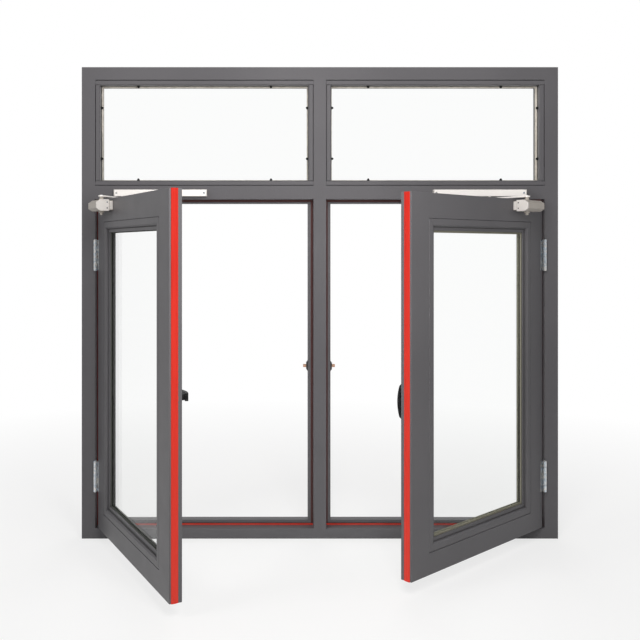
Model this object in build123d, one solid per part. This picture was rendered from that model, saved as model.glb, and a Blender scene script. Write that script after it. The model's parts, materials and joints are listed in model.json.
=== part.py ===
from build123d import *
import os

# Fire-rated steel window: two fixed lights above a transom, two casements that open outwards below it.
# +X is to the right seen from outside, +Y points into the room and +Z up, in millimetres.
# The origin is the centre of the sill's underside. The casements are stored part open.

# Outer frame
FRAME_WIDTH = 1500.0
FRAME_HEIGHT = 1485.0
FRAME_DEPTH = 70.0
HEAD_FACE = 40.0
JAMB_FACE = 42.0
MULLION_FACE = 40.0
TRANSOM_FACE = 43.0
SILL_FACE = 32.0
CASEMENT_OPENING_HEIGHT = 1037.0
STOP_WIDTH = 16.0
CASEMENT_HEAD_STOP = 12.0
STOP_SETBACK = 39.0

# Glazing of the fixed lights
LIGHT_BEAD_SETBACK = 2.0
LIGHT_BEAD_DEPTH = 20.0
LIGHT_BEAD_WIDTH = 16.0
LIGHT_BEAD_GROOVE = 2.0
LIGHT_BEAD_CHAMFER = 3.0
BEAD_FOOT_DEPTH = 6.0
BEAD_END_GAP = 0.2
GLASS_EDGE_GAP = 4.0
CLIP_LENGTH = 10.0
CLIP_RISE = 6.0
CLIP_DEPTH = 6.0
CLIP_TAPER = 2.5
CLIP_FROM_CORNER_X = 118.0
CLIP_FROM_CORNER_Z = 70.0

# Casement leaves
SASH_DEPTH = 34.0
SASH_SETBACK = -2.0
SASH_FACE = 68.0
SASH_LEAD_FACE = 79.0
SASH_BOTTOM_FACE = 59.0
SASH_HINGE_GAP = 5.0
SASH_LEAD_GAP = 8.0
SASH_END_GAP = 5.0
SASH_FLANGE_DEPTH = 7.0
SASH_BEAD_WIDTH = 22.0
SASH_BEAD_DEPTH = 16.0
SASH_BEAD_ARRIS = 2.0
SASH_BEAD_CHAMFER = 4.0
SASH_LIP_GAP = 2.5
SASH_LIP_GAP_DEPTH = 12.0
SASH_LIP_WIDTH = 8.5
SASH_LIP_SETBACK = 9.0
ARRIS_RADIUS = 1.0
SAME_PLACE = 0.01

# Fire seals
REBATE_SEAL_WIDTH = 7.0
REBATE_SEAL_PROUD = 2.0
EDGE_SEAL_WIDTH = 19.0
EDGE_SEAL_FROM_FACE = 4.5
EDGE_SEAL_GROOVE = 1.5
EDGE_SEAL_PROUD = 0.5
EDGE_SEAL_RIB_WIDTH = 13.0
EDGE_SEAL_RIB_PROUD = 1.5
EDGE_SEAL_RIB_SLOPE = 3.0

# Butt hinges
HINGE_HEIGHT = 95.0
HINGE_KNUCKLES = 5
KNUCKLE_RADIUS = 6.0
KNUCKLE_END_GAP = 0.4
KNUCKLE_SIDE_GAP = 0.6
HINGE_PIN_RADIUS = 3.0
HINGE_PIN_CLEARANCE = 0.05
LEAF_THICKNESS = 2.0
LEAF_DEPTH = 37.0
HINGE_AXIS_STANDOFF = 10.0
LOWER_HINGE_FROM_SASH_END = 162.0
UPPER_HINGE_FROM_SASH_END = 171.0

# Slide-arm closers
SPINDLE_FROM_HINGE = 137.0
SPINDLE_FROM_SASH = 25.0
CLOSER_FROM_HINGE = 74.0
CLOSER_BASE_LENGTH = 97.0
CLOSER_BASE_HEIGHT = 27.0
CLOSER_BASE_DEPTH = 12.0
CLOSER_LENGTH = 101.0
CLOSER_HEIGHT = 33.0
CLOSER_DEPTH = 38.0
CLOSER_BELOW_SASH_TOP = 5.0
CLOSER_EDGE_DEPTH = 12.0
CLOSER_EDGE_RISE = 8.0
CLOSER_END_CHAMFER = 5.0
TOP_BOSS_RADIUS = 6.0
LOWER_BOSS_RADIUS = 8.0
LOWER_BOSS_HEIGHT = 5.0
LOWER_CAP_RADIUS = 4.5
LOWER_CAP_HEIGHT = 6.0
ARM_LIFT = 5.0
ARM_THICKNESS = 4.0
ARM_EYE_RADIUS = 9.0
ARM_TIP_RADIUS = 5.0
ARM_SEAT_GAP = 0.3
ARM_CAP_RADIUS = 4.0
ARM_CAP_HEIGHT = 1.0
TRACK_GAP_OVER_ARM = 5.0
TRACK_HEIGHT = 20.0
TRACK_START = 60.0
TRACK_LENGTH = 290.0
TRACK_FRONT_WALL = 5.5
TRACK_SLOT_HEIGHT = 12.0
TRACK_END_WALL = 5.0
ROLLER_RADIUS = 3.5
ROLLER_CLEARANCE = 1.0
ROLLER_REACH = 8.0

# Lever handles and their keepers
HANDLE_LEVEL = 538.0
HANDLE_FROM_LEAD_EDGE = 42.0
HANDLE_BASE_WIDTH = 28.0
HANDLE_BASE_HEIGHT = 52.0
HANDLE_BASE_DROP = 8.0
HANDLE_BASE_DEPTH = 9.0
LEVER_NECK_RADIUS = 8.0
LEVER_NECK_LENGTH = 10.0
LEVER_LENGTH = 84.0
LEVER_HEIGHT = 20.0
LEVER_THICKNESS = 9.0
LEVER_BOW = 9.0
LEVER_GAP = 0.3
KEEPER_HEIGHT = 34.0
KEEPER_TIP_HEIGHT = 20.0
KEEPER_PROUD = 5.0
KEEPER_DEPTH = 20.0
KEEPER_PIN_RADIUS = 5.0
KEEPER_PIN_LENGTH = 10.0

# Stored pose: how far each casement stands open, and how far each lever is turned down from level
OPEN_DEG = {"left": 64.5, "right": 44.0}
LEVER_DOWN_DEG = {"left": 0.0, "right": 90.0}

# Planes of the outer frame
FRONT = -FRAME_DEPTH / 2
BACK = FRAME_DEPTH / 2
STOP_FRONT = FRONT + STOP_SETBACK
HALF_WIDTH = FRAME_WIDTH / 2
JAMB_INNER = HALF_WIDTH - JAMB_FACE
MULLION_SIDE = MULLION_FACE / 2
TRANSOM_BOTTOM = SILL_FACE + CASEMENT_OPENING_HEIGHT
TRANSOM_TOP = TRANSOM_BOTTOM + TRANSOM_FACE
HEAD_BOTTOM = FRAME_HEIGHT - HEAD_FACE

# Planes of the closed left casement
SASH_FRONT = FRONT + SASH_SETBACK
SASH_BACK = SASH_FRONT + SASH_DEPTH
SASH_HINGE_X = -JAMB_INNER + SASH_HINGE_GAP
SASH_LEAD_X = -MULLION_SIDE - SASH_LEAD_GAP
SASH_BOTTOM = SILL_FACE + SASH_END_GAP
SASH_TOP = TRANSOM_BOTTOM - SASH_END_GAP
SASH_FLANGE_FRONT = SASH_BACK - SASH_FLANGE_DEPTH
SASH_BEAD_BACK = SASH_FRONT + SASH_BEAD_DEPTH
SASH_FLANGE_WIDTH = SASH_BEAD_WIDTH + SASH_LIP_GAP + SASH_LIP_WIDTH
GLAZING_LEFT = SASH_HINGE_X + SASH_FACE
GLAZING_RIGHT = SASH_LEAD_X - SASH_LEAD_FACE
GLAZING_LOW = SASH_BOTTOM + SASH_BOTTOM_FACE
GLAZING_HIGH = SASH_TOP - SASH_FACE

# Axes of the left casement: the hinge, and the closer's spindle with the casement shut
HINGE_X = -JAMB_INNER + SASH_HINGE_GAP / 2
HINGE_Y = FRONT - HINGE_AXIS_STANDOFF
SPINDLE_X = HINGE_X + SPINDLE_FROM_HINGE
SPINDLE_Y = SASH_FRONT - SPINDLE_FROM_SASH
HANDLE_X = SASH_LEAD_X - HANDLE_FROM_LEAD_EDGE
HINGE_LEVELS = (SASH_BOTTOM + LOWER_HINGE_FROM_SASH_END, SASH_TOP - UPPER_HINGE_FROM_SASH_END)
HINGE_AXIS = Axis((HINGE_X, HINGE_Y, 0), (0, 0, 1))
SPINDLE_AXIS = Axis((SPINDLE_X, SPINDLE_Y, 0), (0, 0, 1))
LEVER_AXIS = Axis((HANDLE_X, 0, HANDLE_LEVEL), (0, 1, 0))

# The closer's arm is as long as its spindle is from the hinge, so its roller keeps to the line of the track.
ROLLER_SHUT_X = HINGE_X + 2 * SPINDLE_FROM_HINGE
ARM_BOTTOM = SASH_TOP + ARM_LIFT
ARM_TOP = ARM_BOTTOM + ARM_THICKNESS
TRACK_BOTTOM = ARM_TOP + TRACK_GAP_OVER_ARM
TRACK_TOP = TRACK_BOTTOM + TRACK_HEIGHT


def face_of(points):
    """A flat face inside a closed run of straight edges."""
    return make_face(Polyline(*points, close=True))


def rail(outline, x0, x1):
    """A bar along X from its (y, z) outline."""
    return extrude(face_of([(x0, y, z) for y, z in outline]), amount=x1 - x0, dir=(1, 0, 0))


def post(outline, z0, z1):
    """A bar along Z from its (x, y) outline."""
    return extrude(face_of([(x, y, z0) for x, y in outline]), amount=z1 - z0, dir=(0, 0, 1))


def block(x0, x1, y0, y1, z0, z1):
    """A plain bar between two corners."""
    return rail([(y0, z0), (y1, z0), (y1, z1), (y0, z1)], x0, x1)


def rod(x, y, z0, z1, radius):
    """An upright round bar."""
    return Pos(x, y, (z0 + z1) / 2) * Cylinder(radius, z1 - z0)


def soften(bar, axis, places):
    """Round the edges of a bar along an axis that pass through the given places across it."""
    chosen = []
    for edge in bar.edges().filter_by(axis):
        at = edge.center()
        across = (at.Y, at.Z) if axis == Axis.X else (at.X, at.Y)
        if any(abs(across[0] - u) + abs(across[1] - v) < SAME_PLACE for u, v in places):
            chosen.append(edge)
    return fillet(chosen, ARRIS_RADIUS)


def weld(x0, x1, z0, z1):
    """A filler that keeps the front flush where one member butts against another's rounded edge."""
    return block(x0, x1, FRONT, FRONT + ARRIS_RADIUS, z0, z1)


def head():
    """Top member, with the glazing stop along its back."""
    outline = [
        (FRONT, HEAD_BOTTOM), (FRONT, FRAME_HEIGHT), (BACK, FRAME_HEIGHT),
        (BACK, HEAD_BOTTOM - STOP_WIDTH), (STOP_FRONT, HEAD_BOTTOM - STOP_WIDTH), (STOP_FRONT, HEAD_BOTTOM),
    ]
    bar = soften(rail(outline, -JAMB_INNER, JAMB_INNER), Axis.X, [(FRONT, HEAD_BOTTOM)])
    return bar + weld(-MULLION_SIDE, MULLION_SIDE, HEAD_BOTTOM, HEAD_BOTTOM + ARRIS_RADIUS)


def sill():
    """Bottom member, with the casements' stop along its back."""
    outline = [
        (FRONT, 0), (BACK, 0), (BACK, SILL_FACE + STOP_WIDTH),
        (STOP_FRONT, SILL_FACE + STOP_WIDTH), (STOP_FRONT, SILL_FACE), (FRONT, SILL_FACE),
    ]
    bar = soften(rail(outline, -JAMB_INNER, JAMB_INNER), Axis.X, [(FRONT, SILL_FACE)])
    return bar + weld(-MULLION_SIDE, MULLION_SIDE, SILL_FACE - ARRIS_RADIUS, SILL_FACE)


def transom_bar():
    """Cross member between lights and casements, with a stop above and below."""
    outline = [
        (FRONT, TRANSOM_BOTTOM), (STOP_FRONT, TRANSOM_BOTTOM), (STOP_FRONT, TRANSOM_BOTTOM - CASEMENT_HEAD_STOP),
        (BACK, TRANSOM_BOTTOM - CASEMENT_HEAD_STOP), (BACK, TRANSOM_TOP + STOP_WIDTH),
        (STOP_FRONT, TRANSOM_TOP + STOP_WIDTH), (STOP_FRONT, TRANSOM_TOP), (FRONT, TRANSOM_TOP),
    ]
    bar = rail(outline, -JAMB_INNER, JAMB_INNER)
    bar = soften(bar, Axis.X, [(FRONT, TRANSOM_BOTTOM), (FRONT, TRANSOM_TOP)])
    return bar + weld(-MULLION_SIDE, MULLION_SIDE, TRANSOM_BOTTOM, TRANSOM_TOP)


def left_jamb(rails):
    """Left upright, full height, its stop coped round the rails."""
    stop_edge = -JAMB_INNER + STOP_WIDTH
    outline = [
        (-HALF_WIDTH, FRONT), (-JAMB_INNER, FRONT), (-JAMB_INNER, STOP_FRONT),
        (stop_edge, STOP_FRONT), (stop_edge, BACK), (-HALF_WIDTH, BACK),
    ]
    main = soften(post(outline, SILL_FACE, HEAD_BOTTOM), Axis.Z, [(-JAMB_INNER, FRONT)])
    foot = block(-HALF_WIDTH, -JAMB_INNER, FRONT, BACK, 0, SILL_FACE)
    crown = block(-HALF_WIDTH, -JAMB_INNER, FRONT, BACK, HEAD_BOTTOM, FRAME_HEIGHT)
    middle = weld(-JAMB_INNER - ARRIS_RADIUS, -JAMB_INNER, TRANSOM_BOTTOM, TRANSOM_TOP)
    return main + foot + crown + middle - rails


def mullion(z0, z1, rails):
    """Middle upright between two rails, with a stop each side, coped round the rails' stops."""
    stop_edge = MULLION_SIDE + STOP_WIDTH
    outline = [
        (-MULLION_SIDE, FRONT), (MULLION_SIDE, FRONT), (MULLION_SIDE, STOP_FRONT), (stop_edge, STOP_FRONT),
        (stop_edge, BACK), (-stop_edge, BACK), (-stop_edge, STOP_FRONT), (-MULLION_SIDE, STOP_FRONT),
    ]
    bar = soften(post(outline, z0, z1), Axis.Z, [(-MULLION_SIDE, FRONT), (MULLION_SIDE, FRONT)])
    return bar - rails


def light_bead_outline():
    """Section of a fixed light's bead as (distance from the member, y), with a shadow groove beside the member."""
    front = FRONT + LIGHT_BEAD_SETBACK
    back = front + LIGHT_BEAD_DEPTH
    foot = back - BEAD_FOOT_DEPTH
    return [
        (LIGHT_BEAD_GROOVE, front), (LIGHT_BEAD_WIDTH - LIGHT_BEAD_CHAMFER, front),
        (LIGHT_BEAD_WIDTH, front + LIGHT_BEAD_CHAMFER), (LIGHT_BEAD_WIDTH, back), (0, back), (0, foot),
        (LIGHT_BEAD_GROOVE, foot),
    ]


def sash_bead_outline():
    """Section of a casement's bead: eased edges, flush with the face, then a gap and a lower lip beside the glass."""
    lip_start = SASH_BEAD_WIDTH + SASH_LIP_GAP
    gap_floor = SASH_FRONT + SASH_LIP_GAP_DEPTH
    lip_face = SASH_FRONT + SASH_LIP_SETBACK
    return [
        (0, SASH_FRONT + SASH_BEAD_ARRIS), (SASH_BEAD_ARRIS, SASH_FRONT),
        (SASH_BEAD_WIDTH - SASH_BEAD_CHAMFER, SASH_FRONT),
        (SASH_BEAD_WIDTH, SASH_FRONT + SASH_BEAD_CHAMFER), (SASH_BEAD_WIDTH, gap_floor), (lip_start, gap_floor),
        (lip_start, lip_face), (SASH_FLANGE_WIDTH, lip_face), (SASH_FLANGE_WIDTH, SASH_BEAD_BACK),
        (0, SASH_BEAD_BACK),
    ]


def bead_bars(x0, x1, z0, z1, outline, upright_inset):
    """Four beads in an opening, the level ones full length: bottom, top, left, right."""
    return [
        rail([(y, z0 + u) for u, y in outline], x0, x1),
        rail([(y, z1 - u) for u, y in outline], x0, x1),
        post([(x0 + u, y) for u, y in outline], z0 + upright_inset, z1 - upright_inset),
        post([(x1 - u, y) for u, y in outline], z0 + upright_inset, z1 - upright_inset),
    ]


def mitred(bars, x0, x1, z0, z1, width):
    """Four overlapping beads cut at 45 degrees, with a hair's gap, where they meet in the corners."""
    left, right, low, high = x0 + width, x1 - width, z0 + width, z1 - width
    gap = BEAD_END_GAP
    panels = [
        [(x0 + gap, z0), (x1 - gap, z0), (right - gap, low), (left + gap, low)],
        [(x0 + gap, z1), (x1 - gap, z1), (right - gap, high), (left + gap, high)],
        [(x0, z0 + gap), (left, low + gap), (left, high - gap), (x0, z1 - gap)],
        [(x1, z0 + gap), (right, low + gap), (right, high - gap), (x1, z1 - gap)],
    ]
    cut = []
    for bar, panel in zip(bars, panels):
        face = face_of([(x, SASH_FRONT, z) for x, z in panel])
        cut.append(bar & extrude(face, amount=SASH_BEAD_DEPTH, dir=(0, 1, 0)))
    return cut


def light_beads():
    """Beads of the left fixed light; the level ones run through and hold the upright ones."""
    opening = (-JAMB_INNER, -MULLION_SIDE, TRANSOM_TOP, HEAD_BOTTOM)
    return bead_bars(*opening, light_bead_outline(), LIGHT_BEAD_WIDTH + BEAD_END_GAP)


def light_glass():
    """Fire glass of the left fixed light, held between its beads and the stops."""
    return block(
        -JAMB_INNER + GLASS_EDGE_GAP, -MULLION_SIDE - GLASS_EDGE_GAP,
        FRONT + LIGHT_BEAD_SETBACK + LIGHT_BEAD_DEPTH, STOP_FRONT,
        TRANSOM_TOP + GLASS_EDGE_GAP, HEAD_BOTTOM - GLASS_EDGE_GAP,
    )


def light_clips():
    """Small glazing clips that stand on the glass against the beads, two a side."""
    back = FRONT + LIGHT_BEAD_SETBACK + LIGHT_BEAD_DEPTH
    x0 = -JAMB_INNER + LIGHT_BEAD_WIDTH
    x1 = -MULLION_SIDE - LIGHT_BEAD_WIDTH
    z0 = TRANSOM_TOP + LIGHT_BEAD_WIDTH
    z1 = HEAD_BOTTOM - LIGHT_BEAD_WIDTH
    half = CLIP_LENGTH / 2
    nub = [(-half, 0), (half, 0), (half - CLIP_TAPER, CLIP_RISE), (-half + CLIP_TAPER, CLIP_RISE)]
    clips = []
    for x in (x0 + CLIP_FROM_CORNER_X, x1 - CLIP_FROM_CORNER_X):
        for edge, rise in ((z0, 1), (z1, -1)):
            points = [(x + along, back, edge + rise * up) for along, up in nub]
            clips.append(extrude(face_of(points), amount=CLIP_DEPTH, dir=(0, -1, 0)))
    for z in (z0 + CLIP_FROM_CORNER_Z, z1 - CLIP_FROM_CORNER_Z):
        for edge, rise in ((x0, 1), (x1, -1)):
            points = [(edge + rise * up, back, z + along) for along, up in nub]
            clips.append(extrude(face_of(points), amount=CLIP_DEPTH, dir=(0, -1, 0)))
    return clips


def rebate_seal():
    """Red seal round the left casement's rebate, on the front of the stops."""
    y0 = STOP_FRONT - REBATE_SEAL_PROUD
    outer = block(-JAMB_INNER, -MULLION_SIDE, y0, STOP_FRONT, SILL_FACE, TRANSOM_BOTTOM)
    inner = block(
        -JAMB_INNER + REBATE_SEAL_WIDTH, -MULLION_SIDE - REBATE_SEAL_WIDTH, y0, STOP_FRONT,
        SILL_FACE + REBATE_SEAL_WIDTH, TRANSOM_BOTTOM - REBATE_SEAL_WIDTH,
    )
    return outer - inner


def sash_rail(edge, face, inward):
    """Level member of a casement, its face between two heights; inward is +1 for the bottom one, -1 for the top."""
    flange = face + inward * SASH_FLANGE_WIDTH
    outline = [
        (SASH_FRONT, edge), (SASH_FRONT, face), (SASH_FLANGE_FRONT, face),
        (SASH_FLANGE_FRONT, flange), (SASH_BACK, flange), (SASH_BACK, edge),
    ]
    bar = rail(outline, GLAZING_LEFT, GLAZING_RIGHT)
    return soften(bar, Axis.X, [(SASH_FRONT, edge), (SASH_BACK, edge)])


def soft_stile(outline, edge_x):
    """A casement upright with its outer edges rounded, along its length and across its ends."""
    bar = post(outline, SASH_BOTTOM, SASH_TOP)
    ends = [(y, z) for y in (SASH_FRONT, SASH_BACK) for z in (SASH_BOTTOM, SASH_TOP)]
    bar = soften(bar, Axis.X, ends)
    return soften(bar, Axis.Z, [(edge_x, SASH_FRONT), (edge_x, SASH_BACK)])


def hinge_stile(rails):
    """Casement upright on the hinge side."""
    flange = GLAZING_LEFT + SASH_FLANGE_WIDTH
    outline = [
        (SASH_HINGE_X, SASH_FRONT), (GLAZING_LEFT, SASH_FRONT), (GLAZING_LEFT, SASH_FLANGE_FRONT),
        (flange, SASH_FLANGE_FRONT), (flange, SASH_BACK), (SASH_HINGE_X, SASH_BACK),
    ]
    return soft_stile(outline, SASH_HINGE_X) - rails


def lead_stile(rails):
    """Casement upright on the leading side, grooved for its edge seal."""
    flange = GLAZING_RIGHT - SASH_FLANGE_WIDTH
    groove = SASH_LEAD_X - EDGE_SEAL_GROOVE
    seal_front = SASH_FRONT + EDGE_SEAL_FROM_FACE
    seal_back = seal_front + EDGE_SEAL_WIDTH
    outline = [
        (GLAZING_RIGHT, SASH_FRONT), (SASH_LEAD_X, SASH_FRONT), (SASH_LEAD_X, seal_front), (groove, seal_front),
        (groove, seal_back), (SASH_LEAD_X, seal_back), (SASH_LEAD_X, SASH_BACK), (flange, SASH_BACK),
        (flange, SASH_FLANGE_FRONT), (GLAZING_RIGHT, SASH_FLANGE_FRONT),
    ]
    return soft_stile(outline, SASH_LEAD_X) - rails


def sash_glass():
    """Fire glass of a casement, between its beads and the back flange."""
    return block(
        GLAZING_LEFT + GLASS_EDGE_GAP, GLAZING_RIGHT - GLASS_EDGE_GAP, SASH_BEAD_BACK, SASH_FLANGE_FRONT,
        GLAZING_LOW + GLASS_EDGE_GAP, GLAZING_HIGH - GLASS_EDGE_GAP,
    )


def sash_beads():
    """Beads of a casement, flush with its face and mitred in the corners."""
    opening = (GLAZING_LEFT, GLAZING_RIGHT, GLAZING_LOW, GLAZING_HIGH)
    return mitred(bead_bars(*opening, sash_bead_outline(), 0), *opening, SASH_FLANGE_WIDTH)


def edge_seal():
    """Intumescent strip along the leading edge: a flat strip with a low broad rib."""
    root = SASH_LEAD_X - EDGE_SEAL_GROOVE
    face = SASH_LEAD_X + EDGE_SEAL_PROUD
    rib = face + EDGE_SEAL_RIB_PROUD
    y0 = SASH_FRONT + EDGE_SEAL_FROM_FACE
    y1 = y0 + EDGE_SEAL_WIDTH
    outline = [
        (root, y0), (face, y0), (rib, y0 + EDGE_SEAL_RIB_PROUD), (rib, y0 + EDGE_SEAL_RIB_WIDTH),
        (face, y0 + EDGE_SEAL_RIB_WIDTH + EDGE_SEAL_RIB_SLOPE), (face, y1), (root, y1),
    ]
    return post(outline, SASH_BOTTOM, SASH_TOP)


def knuckle_spans(level, first):
    """Heights of every other knuckle of a hinge, starting with knuckle number first."""
    pitch = HINGE_HEIGHT / HINGE_KNUCKLES
    bottom = level - HINGE_HEIGHT / 2
    return [(bottom + n * pitch, bottom + (n + 1) * pitch) for n in range(first, HINGE_KNUCKLES, 2)]


def hinge_leaf(level, x0, own, other):
    """A hinge leaf with its own knuckles, cut clear of the other leaf's."""
    low = level - HINGE_HEIGHT / 2
    leaf = block(x0, x0 + LEAF_THICKNESS, HINGE_Y, HINGE_Y + LEAF_DEPTH, low, low + HINGE_HEIGHT)
    for z0, z1 in other:
        room = KNUCKLE_END_GAP / 2
        leaf -= rod(HINGE_X, HINGE_Y, z0 - room, z1 + room, KNUCKLE_RADIUS + KNUCKLE_SIDE_GAP)
    for z0, z1 in own:
        trim = KNUCKLE_END_GAP / 2
        leaf += rod(HINGE_X, HINGE_Y, z0 + trim, z1 - trim, KNUCKLE_RADIUS)
    return leaf


def frame_leaf(level):
    """Leaf on the jamb's reveal, with the hinge pin fixed in its knuckles."""
    leaf = hinge_leaf(level, -JAMB_INNER, knuckle_spans(level, 0), knuckle_spans(level, 1))
    half = HINGE_HEIGHT / 2 - KNUCKLE_END_GAP
    return leaf + rod(HINGE_X, HINGE_Y, level - half, level + half, HINGE_PIN_RADIUS)


def sash_leaf(level):
    """Leaf on the casement's edge, bored to run on the pin."""
    leaf = hinge_leaf(level, SASH_HINGE_X - LEAF_THICKNESS, knuckle_spans(level, 1), knuckle_spans(level, 0))
    half = HINGE_HEIGHT / 2
    return leaf - rod(HINGE_X, HINGE_Y, level - half, level + half, HINGE_PIN_RADIUS + HINGE_PIN_CLEARANCE)


def closer_body():
    """Closer on the casement's face: a narrow base, a bevelled housing, and the spindle's bosses."""
    top = SASH_TOP - CLOSER_BELOW_SASH_TOP
    bottom = top - CLOSER_HEIGHT
    middle = (top + bottom) / 2
    root = SASH_FRONT - CLOSER_BASE_DEPTH
    nose = root - CLOSER_DEPTH
    shoulder = nose + CLOSER_EDGE_DEPTH
    outline = [
        (root, bottom), (shoulder, bottom), (nose, bottom + CLOSER_EDGE_RISE),
        (nose, top - CLOSER_EDGE_RISE), (shoulder, top), (root, top),
    ]
    start = HINGE_X + CLOSER_FROM_HINGE
    end = start + CLOSER_LENGTH
    housing = rail(outline, start, end)
    ends = housing.faces().filter_by(Axis.X)
    rim = [edge for end in ends for edge in end.edges() if edge.center().Y < root - SAME_PLACE]
    housing = chamfer(rim, CLOSER_END_CHAMFER)
    inset = (CLOSER_LENGTH - CLOSER_BASE_LENGTH) / 2
    base = block(
        start + inset, end - inset, root, SASH_FRONT,
        middle - CLOSER_BASE_HEIGHT / 2, middle + CLOSER_BASE_HEIGHT / 2,
    )
    boss = rod(SPINDLE_X, SPINDLE_Y, middle, ARM_BOTTOM - ARM_SEAT_GAP, TOP_BOSS_RADIUS)
    under = bottom - LOWER_BOSS_HEIGHT
    lower = rod(SPINDLE_X, SPINDLE_Y, under, middle, LOWER_BOSS_RADIUS)
    cap = rod(SPINDLE_X, SPINDLE_Y, under - LOWER_CAP_HEIGHT, middle, LOWER_CAP_RADIUS)
    return housing + base + boss + lower + cap


def closer_arm():
    """Flat tapered arm from the spindle to the roller, drawn with the casement shut."""
    eye = Pos(SPINDLE_X, SPINDLE_Y) * Circle(ARM_EYE_RADIUS)
    tip = Pos(ROLLER_SHUT_X, HINGE_Y) * Circle(ARM_TIP_RADIUS)
    bar = Pos(0, 0, ARM_BOTTOM) * extrude(make_hull(eye.edges() + tip.edges()), amount=ARM_THICKNESS)
    cap = rod(SPINDLE_X, SPINDLE_Y, ARM_BOTTOM, ARM_TOP + ARM_CAP_HEIGHT, ARM_CAP_RADIUS)
    roller = rod(ROLLER_SHUT_X, HINGE_Y, ARM_BOTTOM, TRACK_BOTTOM + ROLLER_REACH, ROLLER_RADIUS)
    return bar + cap + roller


def closer_track():
    """Slotted track on the transom; the slot opens downwards on the line of the hinge."""
    nose = HINGE_Y - ROLLER_RADIUS - ROLLER_CLEARANCE - TRACK_FRONT_WALL
    slot_front = HINGE_Y - ROLLER_RADIUS - ROLLER_CLEARANCE
    slot_back = HINGE_Y + ROLLER_RADIUS + ROLLER_CLEARANCE
    slot_top = TRACK_BOTTOM + TRACK_SLOT_HEIGHT
    x0 = HINGE_X + TRACK_START
    x1 = x0 + TRACK_LENGTH
    channel = block(x0, x1, nose, FRONT, TRACK_BOTTOM, TRACK_TOP)
    slot = block(x0 + TRACK_END_WALL, x1 - TRACK_END_WALL, slot_front, slot_back, TRACK_BOTTOM, slot_top)
    return channel - slot


def handle_base():
    """Oblong rose of the lever handle on the casement's room side."""
    face = Plane.XZ * SlotOverall(HANDLE_BASE_HEIGHT, HANDLE_BASE_WIDTH, rotation=90)
    rose = extrude(face, amount=-HANDLE_BASE_DEPTH)
    return Pos(HANDLE_X, SASH_BACK, HANDLE_LEVEL - HANDLE_BASE_DROP) * rose


def handle_lever():
    """Bowed lever on a round neck, drawn level with its grip towards the hinges."""
    neck_start = SASH_BACK + HANDLE_BASE_DEPTH + LEVER_GAP
    neck_end = neck_start + LEVER_NECK_LENGTH
    neck_length = LEVER_NECK_LENGTH + LEVER_THICKNESS
    neck = Rot(90, 0, 0) * Cylinder(LEVER_NECK_RADIUS, neck_length)
    neck = Pos(HANDLE_X, neck_start + neck_length / 2, HANDLE_LEVEL) * neck
    start = HANDLE_X + LEVER_HEIGHT / 2
    end = start - LEVER_LENGTH - LEVER_HEIGHT / 2
    middle = (start + end) / 2
    y0 = neck_end
    y1 = y0 + LEVER_THICKNESS
    inner = ThreePointArc((start, y0), (middle, y0 + LEVER_BOW), (end, y0))
    outer = ThreePointArc((start, y1), (middle, y1 + LEVER_BOW), (end, y1))
    sides = [Line((start, y0), (start, y1)), Line((end, y0), (end, y1))]
    grip = extrude(make_face([inner, outer] + sides), amount=LEVER_HEIGHT)
    grip = Pos(0, 0, HANDLE_LEVEL - LEVER_HEIGHT / 2) * grip
    grip = chamfer(grip.edges().filter_by(Axis.Y), LEVER_HEIGHT / 4)
    return neck + grip


def keeper():
    """Tapered keeper with a pin, on the side of the mullion's stop."""
    x0 = -MULLION_SIDE - STOP_WIDTH
    y0 = (STOP_FRONT + BACK - KEEPER_DEPTH) / 2
    half = KEEPER_HEIGHT / 2
    tip = KEEPER_TIP_HEIGHT / 2
    points = [
        (x0, y0, HANDLE_LEVEL - half), (x0 - KEEPER_PROUD, y0, HANDLE_LEVEL - tip),
        (x0 - KEEPER_PROUD, y0, HANDLE_LEVEL + tip), (x0, y0, HANDLE_LEVEL + half),
    ]
    plate = extrude(face_of(points), amount=KEEPER_DEPTH, dir=(0, 1, 0))
    length = KEEPER_PROUD + KEEPER_PIN_LENGTH
    pin = Pos(x0 - length / 2, y0 + KEEPER_DEPTH / 2, HANDLE_LEVEL) * Rot(0, 90, 0) * Cylinder(
        KEEPER_PIN_RADIUS, length)
    return plate + pin


def hand(shape, side):
    """A left-hand shape as it is, or mirrored for the right-hand side."""
    return shape if side == "left" else mirror(shape, about=Plane.YZ)


def swing(shape, side):
    """A shape of the closed left casement, opened to the stored angle and put on its side."""
    return hand(shape.rotate(HINGE_AXIS, -OPEN_DEG[side]), side)


def write(name, shapes):
    """Write one node from one shape or from several that stand apart."""
    solids = [solid for shape in shapes for solid in shape.solids()]
    export_step(solids[0] if len(solids) == 1 else Compound(children=solids), f"parts/{name}.step")
    print(name, len(solids), round(sum(solid.volume for solid in solids)))


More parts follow.
